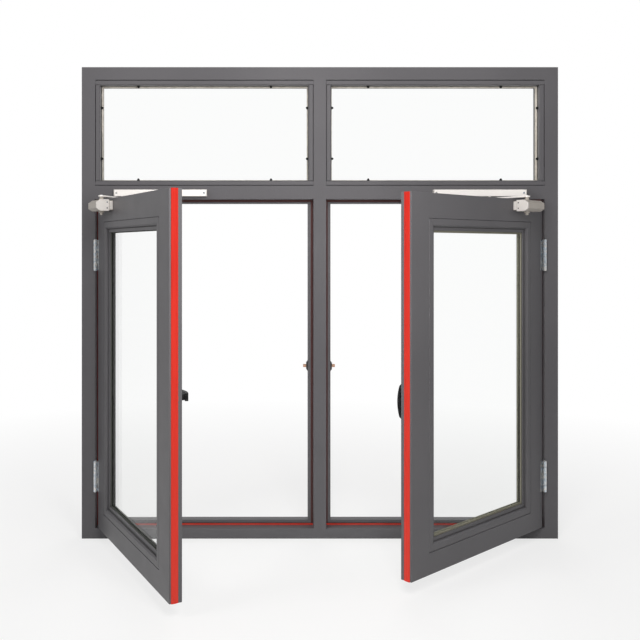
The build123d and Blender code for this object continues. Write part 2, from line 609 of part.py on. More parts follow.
def main():
    """Build every node and write it to its own file."""
    os.makedirs("parts", exist_ok=True)
    frame_rails = [head(), transom_bar(), sill()]
    for name, bar in zip(("head", "transom_bar", "sill"), frame_rails):
        write(name, [bar])
    write("upper_mullion", [mullion(TRANSOM_TOP, HEAD_BOTTOM, frame_rails)])
    write("lower_mullion", [mullion(SILL_FACE, TRANSOM_BOTTOM, frame_rails)])

    sash_rails = [sash_rail(SASH_TOP, GLAZING_HIGH, -1), sash_rail(SASH_BOTTOM, GLAZING_LOW, 1)]
    stiles = {"hinge_stile": hinge_stile(sash_rails), "lead_stile": lead_stile(sash_rails)}
    jamb = left_jamb(frame_rails)
    fixed = {
        "jamb": [jamb],
        "light_glass": [light_glass()],
        "light_beads": light_beads(),
        "light_clips": light_clips(),
        "rebate_seal": [rebate_seal()],
        "closer_track": [closer_track()],
        "frame_hinge_leaves": [frame_leaf(level) for level in HINGE_LEVELS],
        "keeper": [keeper()],
    }
    leaf = {
        "sash_top_rail": [sash_rails[0]],
        "sash_bottom_rail": [sash_rails[1]],
        "sash_hinge_stile": [stiles["hinge_stile"]],
        "sash_lead_stile": [stiles["lead_stile"]],
        "sash_glass": [sash_glass()],
        "sash_beads": sash_beads(),
        "sash_edge_seal": [edge_seal()],
        "sash_hinge_leaves": [sash_leaf(level) for level in HINGE_LEVELS],
        "closer_body": [closer_body()],
        "handle_base": [handle_base()],
    }
    for side in ("left", "right"):
        for name, shapes in fixed.items():
            write(f"{side}_{name}", [hand(shape, side) for shape in shapes])
        for name, shapes in leaf.items():
            write(f"{side}_{name}", [swing(shape, side) for shape in shapes])
        arm = closer_arm().rotate(SPINDLE_AXIS, 2 * OPEN_DEG[side])
        write(f"{side}_closer_arm", [swing(arm, side)])
        lever = handle_lever().rotate(LEVER_AXIS, -LEVER_DOWN_DEG[side])
        write(f"{side}_handle_lever", [swing(lever, side)])


main()
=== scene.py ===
# %% [markdown]
# # A fire-rated steel window
#
# The window has two fixed lights above a transom bar and two casements below it that open outwards. The CAD
# part already holds every member at its true size, so this lesson adds what a drawing leaves out: small
# fittings, the tape that beds the glass, the finish of each material, and a plain studio. Everything is in
# metres, in the CAD part's own frame: +X to the right, +Y into the room, +Z up.

# %% Load the CAD part
import json
import math

import bmesh
import bpy
from mathutils import Matrix, Vector


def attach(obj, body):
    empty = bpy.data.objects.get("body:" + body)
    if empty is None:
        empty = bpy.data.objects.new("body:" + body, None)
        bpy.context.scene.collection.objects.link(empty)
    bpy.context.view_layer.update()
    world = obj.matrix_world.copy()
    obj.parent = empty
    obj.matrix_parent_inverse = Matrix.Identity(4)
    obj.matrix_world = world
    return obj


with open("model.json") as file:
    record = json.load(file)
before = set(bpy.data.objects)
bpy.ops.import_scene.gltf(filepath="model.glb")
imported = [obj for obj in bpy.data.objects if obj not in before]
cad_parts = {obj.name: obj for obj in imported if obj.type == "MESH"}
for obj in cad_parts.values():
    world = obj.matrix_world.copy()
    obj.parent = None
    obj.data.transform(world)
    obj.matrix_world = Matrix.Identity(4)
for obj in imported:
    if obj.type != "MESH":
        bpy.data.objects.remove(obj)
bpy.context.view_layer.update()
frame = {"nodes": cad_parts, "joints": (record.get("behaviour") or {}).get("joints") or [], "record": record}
nodes = frame["nodes"]
joints = {joint["name"]: joint for joint in frame["joints"]}
bpy.context.scene.view_settings.view_transform = "Standard"

# %% [markdown]
# ## The camera
#
# The photograph was taken square on to the window, from a little left of its middle and at the height of
# the casements' upper third, and then cropped. A camera that points straight ahead, with its frame shifted,
# gives the same picture: level lines of the frame stay level, and uprights stay upright. A tilted camera
# could be used, but then the uprights would lean.

# %% Camera
IMAGE_SIZE = 640
FOCAL_PIXELS = 899.5
SENSOR_WIDTH = 36.0
CAMERA_PLACE = (-0.1619, -2.868, 0.9147)
PRINCIPAL_POINT = (268.5, 248.2)

camera_data = bpy.data.cameras.new("photo_camera")
camera_data.sensor_width = SENSOR_WIDTH
camera_data.lens = FOCAL_PIXELS / IMAGE_SIZE * SENSOR_WIDTH
camera_data.shift_x = (IMAGE_SIZE / 2 - PRINCIPAL_POINT[0]) / IMAGE_SIZE
camera_data.shift_y = (PRINCIPAL_POINT[1] - IMAGE_SIZE / 2) / IMAGE_SIZE
camera = bpy.data.objects.new("photo_camera", camera_data)
camera.location = CAMERA_PLACE
camera.rotation_euler = (math.pi / 2, 0, 0)
bpy.context.scene.collection.objects.link(camera)
bpy.context.scene.camera = camera
print("camera lens", round(camera_data.lens, 2), "mm")

# %% [markdown]
# ## How each casement stands
#
# Both casements are drawn once, as the left one standing shut, because a shut casement is square to the
# axes and easy to measure. Each fitting is then swung open about the hinge, and mirrored for the right
# side. The hinge's place and the angle of opening are read from the joints, so the fittings always follow
# the CAD part.

# %% Places of the casements
MM = 0.001
SIDES = ("left", "right")
HINGE = Vector(joints["left_sash_hinge"]["pos_m"])
OPEN = {side: math.radians(-joints[side + "_sash_hinge"]["range_deg"][0]) for side in SIDES}
MIRROR_X = Matrix.Scale(-1, 4, (1, 0, 0))


def hand(side):
    """The matrix that puts a left-hand fitting of the frame on its side."""
    return Matrix.Identity(4) if side == "left" else MIRROR_X


def swing(side):
    """The matrix that opens a fitting of the shut left casement and puts it on its side."""
    turn = Matrix.Translation(HINGE) @ Matrix.Rotation(-OPEN[side], 4, "Z") @ Matrix.Translation(-HINGE)
    return hand(side) @ turn


print("opened by", {side: round(math.degrees(angle), 1) for side, angle in OPEN.items()}, "degrees")

# %% [markdown]
# ## Tools for modelling
#
# A fitting starts as a primitive at its own size, is shaped in edit mode, and is then set in place. These
# helpers do the chores around that: clear the selection first, choose faces or edges by where they are, put
# a finished mesh in its place with the object left at the origin, and make copies that own their mesh.


# %% Modelling helpers
SAME = 1e-5
FLAT = 0.99
SMOOTH_ANGLE = 30.0
ROUND_STEPS = 3


def nothing_selected():
    """Leave edit mode and clear the selection, because an operator acts on all that is selected."""
    if bpy.context.object and bpy.context.object.mode != "OBJECT":
        bpy.ops.object.mode_set(mode="OBJECT")
    bpy.ops.object.select_all(action="DESELECT")


def make_active(piece):
    """Select one piece alone."""
    nothing_selected()
    piece.select_set(True)
    bpy.context.view_layer.objects.active = piece


def begin(name, add, **sizes):
    """Add a primitive and stay in edit mode with all of it selected."""
    nothing_selected()
    add(**sizes)
    piece = bpy.context.object
    piece.name = name
    piece.data.name = name
    bpy.ops.object.transform_apply(location=True, rotation=True, scale=True)
    bpy.ops.object.mode_set(mode="EDIT")
    bpy.ops.mesh.select_all(action="SELECT")
    return piece


def choose(piece, kind, test):
    """In edit mode, select the faces that pass a test on middle and normal, or the edges by their ends."""
    bpy.ops.mesh.select_all(action="DESELECT")
    bpy.ops.mesh.select_mode(type=kind)
    mesh = bmesh.from_edit_mesh(piece.data)
    count = 0
    if kind == "FACE":
        for face in mesh.faces:
            if test(face.calc_center_median(), face.normal):
                face.select_set(True)
                count += 1
    else:
        for edge in mesh.edges:
            ends = [corner.co for corner in edge.verts]
            if test(*ends):
                edge.select_set(True)
                count += 1
    mesh.select_flush_mode()
    bmesh.update_edit_mesh(piece.data)
    return count


def done(piece):
    """Leave edit mode with clean outward faces, smooth but for sharp edges."""
    bpy.ops.mesh.select_all(action="SELECT")
    bpy.ops.mesh.normals_make_consistent(inside=False)
    bpy.ops.object.mode_set(mode="OBJECT")
    make_active(piece)
    bpy.ops.object.shade_smooth_by_angle(angle=math.radians(SMOOTH_ANGLE))
    return piece


def copy_at(master, name, matrix):
    """A copy of a finished piece with its own mesh, placed by a matrix and left at the origin."""
    copy = master.copy()
    copy.data = master.data.copy()
    copy.name = name
    copy.data.name = name
    bpy.context.scene.collection.objects.link(copy)
    copy.matrix_world = matrix
    make_active(copy)
    bpy.ops.object.transform_apply(location=True, rotation=True, scale=True)
    if matrix.determinant() < 0:
        bpy.ops.object.mode_set(mode="EDIT")
        bpy.ops.mesh.select_all(action="SELECT")
        bpy.ops.mesh.normals_make_consistent(inside=False)
        bpy.ops.object.mode_set(mode="OBJECT")
    return copy


def join(pieces, name):
    """Several small pieces as one object."""
    nothing_selected()
    for piece in pieces:
        piece.select_set(True)
    bpy.context.view_layer.objects.active = pieces[0]
    bpy.ops.object.join()
    pieces[0].name = name
    pieces[0].data.name = name
    return pieces[0]


def remove(piece):
    """Delete a master once its copies are made."""
    bpy.data.objects.remove(piece, do_unlink=True)


def settle(piece, body, finish):
    """Give a finished piece its body and its material."""
    piece.data.materials.clear()
    piece.data.materials.append(finish)
    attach(piece, body)
    print("made", piece.name, len(piece.data.polygons), "faces, rides", body)


# %% [markdown]
# ## Writing shaders as sums
#
# A material is a graph of nodes, and a graph is slow to read. This small class wraps a socket, so that
# arithmetic on it adds the Math nodes by itself, and one method adds any other node: its settings first,
# then its sockets.


# %% Shader helper
MIRRORED = 0.55


class Wire:
    """A shader socket that takes part in sums."""

    def __init__(self, socket):
        self.socket = socket

    def node(self, kind, settings, inputs, output=0):
        """Add a node with its settings, give its sockets values or links, and return one of its outputs."""
        made = self.socket.id_data.nodes.new(kind)
        for key, value in settings.items():
            setattr(made, key, value)
        for key, value in inputs.items():
            if isinstance(value, Wire):
                self.socket.id_data.links.new(value.socket, made.inputs[key])
            else:
                made.inputs[key].default_value = value
        return Wire(made.outputs[output])

    def sum(self, operation, first, second):
        return self.node("ShaderNodeMath", {"operation": operation}, {0: first, 1: second})

    def __add__(self, other):
        return self.sum("ADD", self, other)

    __radd__ = __add__

    def __mul__(self, other):
        return self.sum("MULTIPLY", self, other)

    __rmul__ = __mul__

    def __gt__(self, other):
        return self.sum("GREATER_THAN", self, other)

    def __abs__(self):
        return self.sum("ABSOLUTE", self, 0.0)

    def axis(self, letter):
        """One part of this vector, X, Y or Z."""
        return self.node("ShaderNodeSeparateXYZ", {}, {"Vector": self}, letter)

    def noise(self, scale, detail):
        """Grain of a given count to the metre, on this vector."""
        return self.node("ShaderNodeTexNoise", {}, {"Vector": self, "Scale": scale, "Detail": detail})

    def stretched(self, scale):
        """This vector scaled along each axis, so that grain on it runs one way."""
        return self.node("ShaderNodeMapping", {}, {"Vector": self, "Scale": scale})

    def blend(self, low, high):
        """A colour between two others, by this value."""
        ends = [end if isinstance(end, Wire) else (*end, 1) for end in (low, high)]
        return self.node("ShaderNodeMix", {"data_type": "RGBA"}, {0: self, 6: ends[0], 7: ends[1]}, 2)

    def ramp(self, start, end):
        """This value spread so that start becomes 0 and end becomes 1."""
        return self.node("ShaderNodeMapRange", {}, {"Value": self, "From Min": start, "From Max": end})

    def bump(self, distance, strength):
        """A surface normal raised by this value."""
        return self.node("ShaderNodeBump", {}, {"Height": self, "Distance": distance, "Strength": strength})

    def feed(self, shader, socket):
        """Link this value to a shader's socket."""
        self.socket.id_data.links.new(self.socket, shader.inputs[socket])

    def seen(self):
        """1 for rays to the camera or through glass, less for a mirror's rays, and 0 for light."""
        rays = ("Is Camera Ray", "Is Glossy Ray", "Is Transmission Ray")
        found = [self.node("ShaderNodeLightPath", {}, {}, ray) for ray in rays]
        return (found[0] + found[1] * MIRRORED + found[2]).ramp(0.0, 1.0)


def new_finish(name, constants):
    """A material with its shader's constants set, and the Object coordinates to paint on."""
    material = bpy.data.materials.new(name)
    material.use_nodes = True
    shader = material.node_tree.nodes["Principled BSDF"]
    for socket, value in constants.items():
        shader.inputs[socket].default_value = value
    place = Wire(material.node_tree.nodes.new("ShaderNodeTexCoord").outputs["Object"])
    return material, shader, place


def mix_surface(material, factor, first, second):
    """Show a mix of two shaders, by a factor."""
    mixed = factor.node("ShaderNodeMixShader", {}, {0: factor, 1: first, 2: second})
    mixed.feed(material.node_tree.nodes["Material Output"], "Surface")


# %% [markdown]
# ## Satin grey paint
#
# The members are steel with a baked grey powder coat. Powder coat is never quite smooth: it has a fine
# orange peel, a faint speckle, and broad soft changes of tone. A plain grey would look like plastic, so the
# tone comes from two grains of different size, the gloss varies a little, and the peel is a shallow bump.

# %% Frame paint
PAINT_DARK = (0.094, 0.0912, 0.0985)
PAINT_LIGHT = (0.122, 0.1184, 0.1265)
paint, shader, place = new_finish("satin_grey_paint", {"Specular IOR Level": 0.34})
broad = place.noise(2.6, 2.0)
speckle = place.noise(1500.0, 2.0)
peel = place.noise(620.0, 2.0)
tone = broad * 0.55 + speckle * 0.45
tone.ramp(0.32, 0.68).blend(PAINT_DARK, PAINT_LIGHT).feed(shader, "Base Color")
(place.noise(14.0, 4.0) * 0.14 + 0.33).feed(shader, "Roughness")
(peel + speckle * 0.35).bump(0.00009, 0.5).feed(shader, "Normal")
print("finish", paint.name)

# %% [markdown]
# ## Fire glass
#
# Fire glass is a thick clear laminate. It lets nearly all light through, with a breath of green, and
# mirrors a little more at a slant, which the shader's own index of refraction gives. The index is set lower
# than the 1.5 or so of real glass, because the photographed panes mirror almost nothing. Light for the
# floor has to pass too, so shadow rays see a thinly tinted clear sheet in its place.

# %% Fire glass
GLASS_TINT = (0.966, 0.972, 0.968, 1)
SHADOW_TINT = (0.93, 0.95, 0.94, 1)
GLASS_INDEX = 1.12
glass, shader, place = new_finish("clear_fire_glass", {
    "Base Color": GLASS_TINT, "Transmission Weight": 1.0, "IOR": GLASS_INDEX})
(place.noise(5.0, 3.0).ramp(0.45, 0.75) * 0.025).feed(shader, "Roughness")
clear = place.node("ShaderNodeBsdfTransparent", {}, {"Color": SHADOW_TINT})
shadow = place.node("ShaderNodeLightPath", {}, {}, "Is Shadow Ray")
mix_surface(glass, shadow, Wire(shader.outputs["BSDF"]), clear)
print("finish", glass.name)

# %% [markdown]
# ## Red fire seal
#
# The seals are strips of red plastic that swell in a fire. They are extruded, so fine draw lines run along
# them, and they pick up a little dust. On the leading edges the strip is clean, and paler towards its foot.
# The seal in the rebate carries painted shade: it is painted a dark brown red under the transom and beside
# the mullion, a less dark red in the gaps at the jambs, and bright red in a line along the sill, where it
# lies in the light, so its colour follows the height and the side. Two materials with one recipe keep them
# alike.

# %% Red seals
RED_DEEP = (0.38, 0.012, 0.0065)
RED_CLEAN = (0.50, 0.022, 0.013)
RED_PALE = (0.74, 0.045, 0.028)
RED_PAINTED_SHADE = (0.070, 0.029, 0.028)
RED_SILL = (0.60, 0.075, 0.055)
RED_JAMB_PAINTED_SHADE = (0.34, 0.040, 0.034)
JAMB_SIDE = 0.65
SILL_SEAL_TOP = 0.0372
STRIP_ENDS = (0.1, 1.0)
STRIP_FADE = 0.8
DRAWN_UPRIGHT = (1, 1, 0.01)
DRAWN_ROUND = (1, 1, 1)


def seal_finish(name, stretch):
    """Red extruded plastic with draw lines along its length, and its tone from 0 to 1."""
    material, shader, place = new_finish(name, {"Specular IOR Level": 0.28})
    lines = place.stretched(stretch).noise(900.0, 2.0)
    dust = place.noise(9.0, 5.0)
    (dust * 0.2 + 0.42).feed(shader, "Roughness")
    lines.bump(0.0001, 0.5).feed(shader, "Normal")
    print("finish", name)
    return material, shader, place, (lines * 0.6 + dust * 0.4).ramp(0.3, 0.7)


seal_strip, shader, place, tone = seal_finish("red_seal_strip", DRAWN_UPRIGHT)
faded = place.axis("Z").ramp(STRIP_ENDS[1], STRIP_ENDS[0]) * STRIP_FADE
faded.blend(tone.blend(RED_DEEP, RED_CLEAN), RED_PALE).feed(shader, "Base Color")
seal_round, shader, place, tone = seal_finish("red_seal_round", DRAWN_ROUND)
# Painted shade: above the sill the rebate seal is painted dark, less dark in the gaps at the jambs.
painted_shade = (abs(place.axis("X")) > JAMB_SIDE).blend(RED_PAINTED_SHADE, RED_JAMB_PAINTED_SHADE)
above_sill = place.axis("Z") > SILL_SEAL_TOP
above_sill.blend(tone.blend(RED_CLEAN, RED_SILL), painted_shade).feed(shader, "Base Color")

# %% [markdown]
# ## Silver lacquer, zinc, black and copper
#
# The tracks and arms are aluminium with a pale silver lacquer, and the closers' housings have the same
# lacquer in a warmer grey, both full of fine flakes. The hinges are zinc plated, bright with faint blue and
# yellow in the plating. The handles are black plastic with a fine moulded grain. The keepers have a copper
# coloured pin on a dark plate.


# %% Silver lacquers
def lacquer(name, low, high):
    """Lacquer with fine metal flakes between two tones."""
    material, shader, place = new_finish(name, {"Specular IOR Level": 0.45})
    flake = place.noise(3200.0, 1.0)
    cloud = place.noise(22.0, 3.0)
    (flake * 0.7 + cloud * 0.3).ramp(0.3, 0.7).blend(low, high).feed(shader, "Base Color")
    (flake.ramp(0.35, 0.65) * 0.2).feed(shader, "Metallic")
    (cloud * 0.16 + 0.34).feed(shader, "Roughness")
    flake.bump(0.00004, 0.4).feed(shader, "Normal")
    print("finish", name)
    return material


silver = lacquer("pale_silver_lacquer", (0.90, 0.865, 0.84), (0.98, 0.945, 0.92))
taupe = lacquer("warm_grey_lacquer", (0.41, 0.375, 0.335), (0.52, 0.478, 0.432))
cap_silver = lacquer("end_cap_lacquer", (0.61, 0.58, 0.555), (0.74, 0.71, 0.685))

# %% Bright zinc
ZINC_DARK = (0.36, 0.39, 0.42)
ZINC_BLUE = (0.70, 0.77, 0.84)
ZINC_YELLOW = (0.98, 0.93, 0.86)
SCRATCHED_UPRIGHT = (1, 1, 0.08)
zinc, shader, place = new_finish("bright_zinc", {"Metallic": 1.0})
plating = place.noise(120.0, 3.0)
scratch = place.stretched(SCRATCHED_UPRIGHT).noise(1400.0, 2.0)
warm = plating.ramp(0.42, 0.6).blend(ZINC_BLUE, ZINC_YELLOW)
scratch.ramp(0.32, 0.6).blend(ZINC_DARK, warm).feed(shader, "Base Color")
(plating * 0.12 + scratch * 0.1 + 0.12).feed(shader, "Roughness")
scratch.bump(0.00003, 0.4).feed(shader, "Normal")
print("finish", zinc.name)

# %% Black plastic
BLACK_DEEP = (0.004, 0.004, 0.0045)
BLACK_WORN = (0.012, 0.012, 0.0125)
black, shader, place = new_finish("black_plastic", {"Specular IOR Level": 0.2})
grain = place.noise(1800.0, 2.0)
wear = place.noise(40.0, 4.0)
(grain * 0.5 + wear * 0.5).ramp(0.35, 0.7).blend(BLACK_DEEP, BLACK_WORN).feed(shader, "Base Color")
(wear * 0.22 + 0.32).feed(shader, "Roughness")
grain.bump(0.00007, 0.5).feed(shader, "Normal")
print("finish", black.name)

# %% Copper pin on a dark plate
PLATE_FACE_X = 0.0412
COPPER_DULL = (0.60, 0.33, 0.21)
COPPER_BRIGHT = (0.84, 0.55, 0.42)
PLATE_DARK = (0.020, 0.020, 0.021)
PLATE_WORN = (0.045, 0.043, 0.043)
copper, shader, place = new_finish("copper_keeper", {})
pin = abs(place.axis("X")) > PLATE_FACE_X
tarnish = place.noise(160.0, 4.0)
bright = tarnish.ramp(0.35, 0.65).blend(COPPER_DULL, COPPER_BRIGHT)
dark = tarnish.blend(PLATE_DARK, PLATE_WORN)
pin.blend(dark, bright).feed(shader, "Base Color")
(pin * 0.75 + 0.1).feed(shader, "Metallic")
(tarnish * 0.2 + 0.25).feed(shader, "Roughness")
tarnish.bump(0.0001, 0.3).feed(shader, "Normal")
print("finish", copper.name)

# %% [markdown]
# ## Glazing tape and gasket
#
# The casements' glass is bedded in a soft olive tape of ceramic fibre, and a few millimetres of it show
# beside the bead. On the left casement the same tape is painted a darker grey green, as painted shade on a
# reveal that lies in shade. It is matt and slightly fluffy, so it gets a coarse bump and no shine. The fixed
# lights have thin rubber gaskets in its place, grey outside and pale on the room side, where they show
# through the glass. Grey putty fills most of the slot between a casement's bead and the lip inside it.

# %% Glazing tape and gasket finishes
def fibre_tape(name, low, high):
    """Soft fibre tape between two tones."""
    material, shader, place = new_finish(name, {"Specular IOR Level": 0.12, "Roughness": 0.9})
    fibre = place.noise(420.0, 5.0)
    fibre.ramp(0.3, 0.7).blend(low, high).feed(shader, "Base Color")
    fibre.bump(0.0006, 0.5).feed(shader, "Normal")
    print("finish", name)
    return material


TAPES = {
    # The left casement's tape is the olive tape painted darker, as painted shade on its reveal.
    "left": fibre_tape("glazing_tape_painted_shade", (0.055, 0.06, 0.052), (0.10, 0.105, 0.092)),
    "right": fibre_tape("olive_glazing_tape", (0.19, 0.183, 0.14), (0.32, 0.31, 0.25)),
}


def soft_rubber(name, low, high):
    """Rubber with a bloom between two tones."""
    material, shader, place = new_finish(name, {"Specular IOR Level": 0.25})
    bloom = place.noise(60.0, 4.0)
    bloom.ramp(0.35, 0.7).blend(low, high).feed(shader, "Base Color")
    (bloom * 0.25 + 0.5).feed(shader, "Roughness")
    place.noise(700.0, 2.0).bump(0.00008, 0.5).feed(shader, "Normal")
    print("finish", name)
    return material


GASKETS = {
    "outside": soft_rubber("grey_gasket", (0.050, 0.046, 0.044), (0.085, 0.079, 0.075)),
    "inside": soft_rubber("pale_gasket", (0.50, 0.455, 0.405), (0.68, 0.63, 0.57)),
}
putty = soft_rubber("grey_putty", (0.090, 0.088, 0.090), (0.125, 0.122, 0.124))

# %% [markdown]
# ## Finish every CAD node
#
# Each CAD node keeps its shape and gets the material of its slot. Two slots hold more than one finish: the
# red strips on the leading edges differ from the seal in the rebate, and the closers' housings from their
# arms and tracks.

# %% Assign the finishes
FINISH_OF_SLOT = {
    "frame_paint": paint, "fire_glass": glass, "red_seal": seal_round, "closer_silver": silver,
    "bright_zinc": zinc, "black_plastic": black, "copper_metal": copper,
}
FINISH_OF_ENDING = {"sash_edge_seal": seal_strip, "closer_body": taupe}
for row in frame["record"]["subparts"]:
    finish = FINISH_OF_SLOT[row["material_slot"]]
    for ending, other in FINISH_OF_ENDING.items():
        if row["node"].endswith(ending):
            finish = other
    node = nodes[row["node"]]
    node.data.materials.clear()
    node.data.materials.append(finish)

# %% [markdown]
# ## The tape round the panes
#
# Tape and gasket show as a narrow ring inside the bead, slightly proud of the glass and rounded where a
# knife has trimmed it, on both faces of each pane. A plane the size of the ring's outline is inset, its
# middle is deleted, and the ring that is left is extruded and has its proud edges bevelled. The putty in
# the casements' slots is made by the same steps. A curve with a bevel would do as well, but its corners
# would come out round.

# %% Glazing tape and gaskets
TAPE_HIDDEN = 0.004
TAPE_PROUD = 0.0028
TAPE_ROUNDING = 0.0011
GASKET_SHOWS = {"outside": 0.0015, "inside": 0.004}


def tape_ring(name, sight, glass_y, outward, shows):
    """A ring of tape on one face of a pane; outward is the sign of Y that points away from the glass."""
    x0, x1, z0, z1 = sight
    piece = begin(name, bpy.ops.mesh.primitive_plane_add, size=1.0, rotation=(math.pi / 2, 0, 0))
    bpy.ops.transform.resize(value=(x1 - x0 + 2 * TAPE_HIDDEN, 1, z1 - z0 + 2 * TAPE_HIDDEN))
    bpy.ops.transform.translate(value=((x0 + x1) / 2, glass_y, (z0 + z1) / 2))
    bpy.ops.mesh.inset(thickness=shows + TAPE_HIDDEN)
    bpy.ops.mesh.delete(type="FACE")
    bpy.ops.mesh.select_all(action="SELECT")
    bpy.ops.mesh.extrude_region_move(TRANSFORM_OT_translate={"value": (0, outward * TAPE_PROUD, 0)})
    proud_y = glass_y + outward * TAPE_PROUD
    choose(piece, "EDGE", lambda a, b: abs(a.y - proud_y) < SAME and abs(b.y - proud_y) < SAME
           and (abs(a.x - b.x) < SAME or abs(a.z - b.z) < SAME))
    bpy.ops.mesh.bevel(offset=TAPE_ROUNDING, segments=ROUND_STEPS, affect="EDGES")
    return done(piece)


def shut_box(name, undo):
    """A left-hand node's corners, after a matrix that undoes the opening of its casement."""
    points = [undo @ vertex.co for vertex in nodes[name].data.vertices]
    low = Vector([min(point[axis] for point in points) for axis in range(3)])
    high = Vector([max(point[axis] for point in points) for axis in range(3)])
    return low, high


def daylight(beads, width):
    """The left, right, low and high edge of the glass that shows inside a ring of beads."""
    low, high = beads
    return low.x + width, high.x - width, low.z + width, high.z - width


SASH_BEAD_REACH = 0.033
LIGHT_BEAD_REACH = 0.016
SLOT_REACH = 0.0245
PUTTY_FACE_Y = -0.0275
PUTTY_SHOWS = 0.0003
SASH_TAPE_SHOWS = {"left": 0.0025, "right": 0.0055}
undo_left = swing("left").inverted()
sash_glass = shut_box("left_sash_glass", undo_left)
sash_sight = daylight(shut_box("left_sash_beads", undo_left), SASH_BEAD_REACH)
light_glass = shut_box("left_light_glass", Matrix.Identity(4))
light_sight = daylight(shut_box("left_light_beads", Matrix.Identity(4)), LIGHT_BEAD_REACH)
slot_sight = daylight(shut_box("left_sash_beads", undo_left), SLOT_REACH)
for side in SIDES:
    master = tape_ring("putty_master", slot_sight, PUTTY_FACE_Y + TAPE_PROUD, -1, PUTTY_SHOWS)
    settle(copy_at(master, f"{side}_sash_putty", swing(side)), side + "_sash", putty)
    remove(master)
    for corner, outward, face in ((0, -1, "outside"), (1, 1, "inside")):
        master = tape_ring("tape_master", sash_sight, sash_glass[corner].y, outward, SASH_TAPE_SHOWS[side])
        ring = copy_at(master, f"{side}_sash_tape_{face}", swing(side))
        settle(ring, side + "_sash", TAPES[side])
        remove(master)
        master = tape_ring("gasket_master", light_sight, light_glass[corner].y, outward, GASKET_SHOWS[face])
        ring = copy_at(master, f"{side}_light_gasket_{face}", hand(side))
        settle(ring, "frame", GASKETS[face])
        remove(master)

# %% [markdown]
# ## Screws and caps
#
# Every fitting is held by small screws with a cross recess. One head is modelled at a radius of one: a
# short cylinder whose rim is bevelled to a dome, whose top is inset twice, and whose middle and four of the
# ring's faces are pushed down together for the cross. It is then copied to each place at its own size. A
# boolean could cut the cross, but leaves a mesh that is hard to bevel. The hinges' pins end in a domed cap,
# made the same way, with a shallow dish in place of the cross.

# %% Masters of the screw and the cap
HEAD_SIDES = 16
HEAD_HEIGHT = 0.5
DOME = 0.22
CROSS_TURN = 180.0 / HEAD_SIDES
CROSS_ARM = (0.3, 0.6)
CROSS_SPREAD = 1.0
CROSS_DEPTH = 0.2
SCREW_RIM = 0.12
CROSS_RING = 0.42
CAP_RIM = 0.25
CAP_DISH = 0.08


def round_head(name):
    """A domed round head of radius one that stands on the XY plane."""
    piece = begin(name, bpy.ops.mesh.primitive_cylinder_add, vertices=HEAD_SIDES, radius=1.0,
                  depth=HEAD_HEIGHT, location=(0, 0, HEAD_HEIGHT / 2))
    choose(piece, "EDGE", lambda a, b: min(a.z, b.z) > HEAD_HEIGHT - SAME)
    bpy.ops.mesh.bevel(offset=DOME, segments=ROUND_STEPS, affect="EDGES")
    choose(piece, "FACE", lambda middle, normal: normal.z > FLAT and middle.z > HEAD_HEIGHT - SAME)
    return piece


def in_cross(middle, normal):
    """Whether a face of the head's top belongs to the cross."""
    if normal.z < FLAT or middle.z < HEAD_HEIGHT - SAME:
        return False
    reach = math.hypot(middle.x, middle.y)
    turn = math.degrees(math.atan2(middle.y, middle.x)) % 90
    return reach < SAME or (CROSS_ARM[0] < reach < CROSS_ARM[1] and abs(turn - CROSS_TURN) < CROSS_SPREAD)


screw_master = round_head("screw_master")
bpy.ops.mesh.inset(thickness=SCREW_RIM)
bpy.ops.mesh.inset(thickness=CROSS_RING)
cross_faces = choose(screw_master, "FACE", in_cross)
bpy.ops.mesh.extrude_region_move(TRANSFORM_OT_translate={"value": (0, 0, -CROSS_DEPTH)})
done(screw_master)
cap_master = round_head("cap_master")
bpy.ops.mesh.inset(thickness=CAP_RIM)
bpy.ops.mesh.extrude_region_move(TRANSFORM_OT_translate={"value": (0, 0, -CAP_DISH)})
done(cap_master)
print("screw head with", cross_faces, "faces in its cross")


def heads(name, master, put, spots, radius, proud):
    """One object of several heads, sized in millimetres; a spot is a place and the way its head faces."""
    size = Matrix.Diagonal((radius * MM, radius * MM, proud * MM / HEAD_HEIGHT, 1))
    made = []
    for spot, way in spots:
        turn = Vector(way).to_track_quat("Z", "Y").to_matrix().to_4x4()
        made.append(copy_at(master, name, put @ Matrix.Translation(Vector(spot) * MM) @ turn @ size))
    return join(made, name)


# %% [markdown]
# ## Buttons of the glazing clips
#
# Two small clips a side hold the glass of a fixed light against its beads. Each has a round button on its
# front, the domed cap again, a little longer than the clip, so that it shows against the bright pane.

# %% Clip buttons
CLIP_FROM_CORNER = (0.118, 0.07)
CLIP_DEPTH = 0.006
BUTTON_REACH = 0.0042
BUTTON_SIZE = (3.6, 1.6)
x0, x1, z0, z1 = light_sight
button_y = light_glass[0].y - CLIP_DEPTH
button_places = [(x, z) for x in (x0 + CLIP_FROM_CORNER[0], x1 - CLIP_FROM_CORNER[0])
                 for z in (z0 + BUTTON_REACH, z1 - BUTTON_REACH)]
button_places += [(x, z) for x in (x0 + BUTTON_REACH, x1 - BUTTON_REACH)
                  for z in (z0 + CLIP_FROM_CORNER[1], z1 - CLIP_FROM_CORNER[1])]
button_spots = [((x / MM, button_y / MM, z / MM), (0, -1, 0)) for x, z in button_places]
for side in SIDES:
    settle(heads(f"{side}_clip_buttons", cap_master, hand(side), button_spots, *BUTTON_SIZE),
           "frame", black)

# %% [markdown]
# ## Hinges and tracks
#
# Each leaf of a hinge has three countersunk screws that sit almost flush, because the leaves lie a
# millimetre apart when the casement is shut. The casement's leaf ends in a thin lip that is folded over the
# corner of its stile. The tracks are held by a screw near each end and closed by a thin end cap, which is a
# block with all its edges eased.

# %% Eased block
def eased_block(name, low, high, ease):
    """A block between two corners in millimetres, with all its edges rounded; it stays in edit mode."""
    low, high = Vector(low) * MM, Vector(high) * MM
    piece = begin(name, bpy.ops.mesh.primitive_cube_add, size=1.0)
    bpy.ops.transform.resize(value=high - low)
    bpy.ops.transform.translate(value=(low + high) / 2)
    bpy.ops.mesh.select_mode(type="EDGE")
    bpy.ops.mesh.bevel(offset=ease * MM, segments=ROUND_STEPS, affect="EDGES")
    return piece


print("blocks are eased on all their edges")

